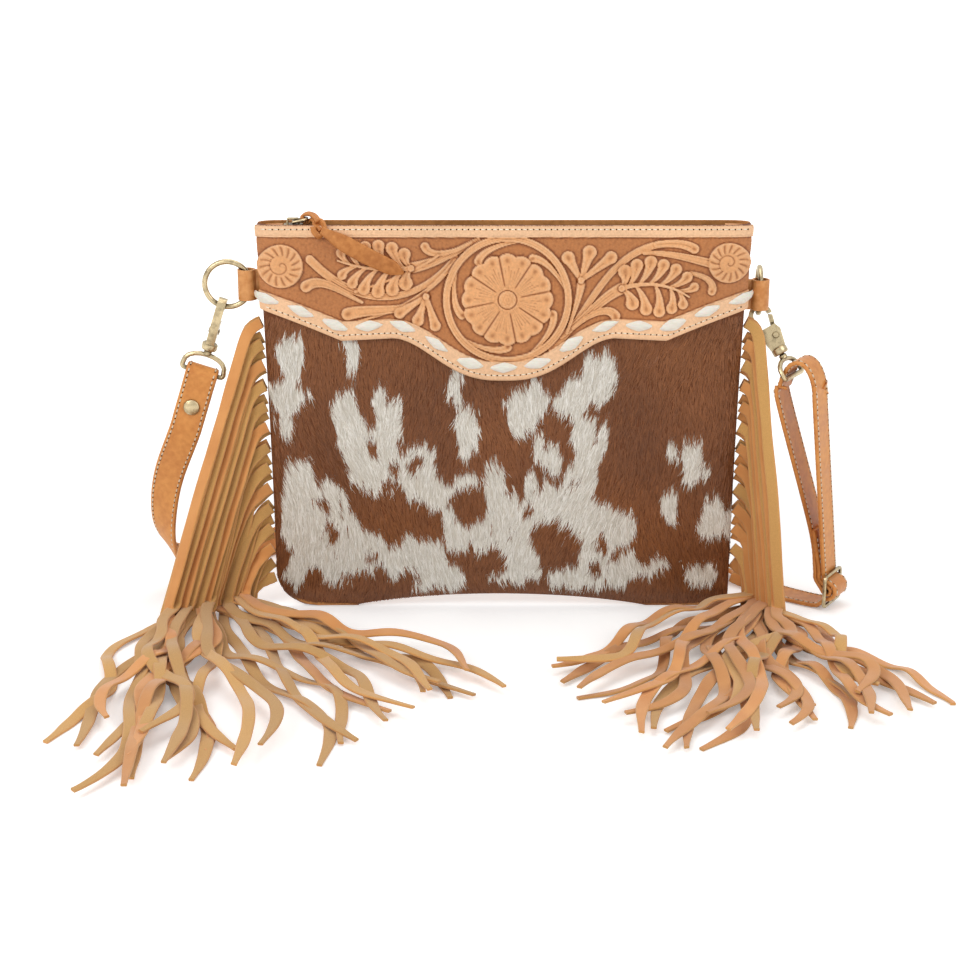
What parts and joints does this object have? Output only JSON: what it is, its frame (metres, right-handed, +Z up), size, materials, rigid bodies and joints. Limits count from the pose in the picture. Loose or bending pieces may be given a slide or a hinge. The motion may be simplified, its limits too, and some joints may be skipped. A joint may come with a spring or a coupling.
{
  "type": "fringed leather crossbody bag",
  "caption": "Flat zip-top crossbody bag with a hair-on hide front, tooled scalloped yoke, rawhide lacing, long side fringes and a leather strap on snap hooks.",
  "frame": {"origin": "on the floor, under the middle of the bag", "axes": "+Z up; the hide front with the yoke faces -Y; +X is the side of the strap's slider buckle"},
  "size_m": [0.4857, 0.5214, 0.2439],
  "materials": {
    "hide": "satin",
    "back_leather": "satin",
    "lining": "matte",
    "tooled_leather": "satin",
    "rawhide": "matte",
    "zip": "gloss",
    "zip_metal": "satin",
    "pull_leather": "matte",
    "antique_brass": "satin",
    "strap_leather": "satin",
    "fringe_leather": "matte",
    "spring_steel": "satin"
  },
  "bodies": {
    "bag": {"front_panel": "hide", "back_panel": "back_leather", "lining": "lining", "yoke": "tooled_leather", "yoke_lace": "rawhide", "zip_tape_front": "zip", "zip_tape_back": "zip", "zip_end_left": "pull_leather", "zip_end_right": "pull_leather", "tab_left": "tooled_leather", "tab_right": "tooled_leather", "strap": "strap_leather", "strap_rivet": "antique_brass", "strap_buckle": "antique_brass", "fringe_left": "fringe_leather", "fringe_right": "fringe_leather"},
    "slider": {"zip_slider": "zip_metal"},
    "bail": {"zip_bail": "zip_metal"},
    "pull": {"zip_pull": "pull_leather"},
    "ring_left": {"ring_left": "antique_brass", "hook_left": "antique_brass", "gate_pin_left": "antique_brass", "gate_spring_left": "spring_steel"},
    "gate_left": {"gate_left": "antique_brass"},
    "eye_left": {"eye_left": "antique_brass"},
    "ring_right": {"ring_right": "antique_brass", "hook_right": "antique_brass", "gate_pin_right": "antique_brass", "gate_spring_right": "spring_steel"},
    "gate_right": {"gate_right": "antique_brass"},
    "eye_right": {"eye_right": "antique_brass"}
  },
  "joints": [
    {"name": "zip_slide", "type": "slide", "parent": "bag", "child": "slider", "axis": [1, 0, 0], "range_m": [0, 0.236], "deforming": ["zip_tape_front", "zip_tape_back"]},
    {"name": "bail_flip", "type": "hinge", "parent": "slider", "child": "bail", "pos_m": [-0.1222, 0, 0.2385], "axis": [0, 1, 0], "range_deg": [-60, 0]},
    {"name": "pull_swing", "type": "hinge", "parent": "bail", "child": "pull", "pos_m": [-0.1142, 0, 0.2402], "axis": [0, 1, 0], "range_deg": [-35, 0]},
    {"name": "ring_swing_left", "type": "hinge", "parent": "bag", "child": "ring_left", "pos_m": [-0.1503, 0, 0.2015], "axis": [0, 0, 1], "range_deg": [-60, 30], "deforming": ["strap"]},
    {"name": "eye_swivel_left", "type": "hinge", "parent": "ring_left", "child": "eye_left", "pos_m": [-0.16574, 0, 0.18876], "axis": [0.309, 0, 0.9511], "range_deg": [-90, 90], "deforming": ["strap"]},
    {"name": "gate_left", "type": "hinge", "parent": "ring_left", "child": "gate_left", "pos_m": [-0.17084, 0.0022, 0.17306], "axis": [0.9511, 0, -0.309], "range_deg": [0, 24], "stiffness_Nm_per_rad": 0.02, "springref_deg": -17.19, "deforming": ["gate_spring_left"]},
    {"name": "ring_swing_right", "type": "hinge", "parent": "bag", "child": "ring_right", "pos_m": [0.1503, 0, 0.1955], "axis": [0, 0, 1], "range_deg": [-25, 15], "deforming": ["strap"]},
    {"name": "eye_swivel_right", "type": "hinge", "parent": "ring_right", "child": "eye_right", "pos_m": [0.1508, 0.0071, 0.18277], "axis": [-0.4863, 0.3039, 0.8192], "range_deg": [-90, 90], "deforming": ["strap"]},
    {"name": "gate_right", "type": "hinge", "parent": "ring_right", "child": "gate_right", "pos_m": [0.16074, 0.0023, 0.17031], "axis": [-0.0663, -0.9477, 0.3122], "range_deg": [0, 24], "stiffness_Nm_per_rad": 0.02, "springref_deg": -17.19, "deforming": ["gate_spring_right"]}
  ]
}
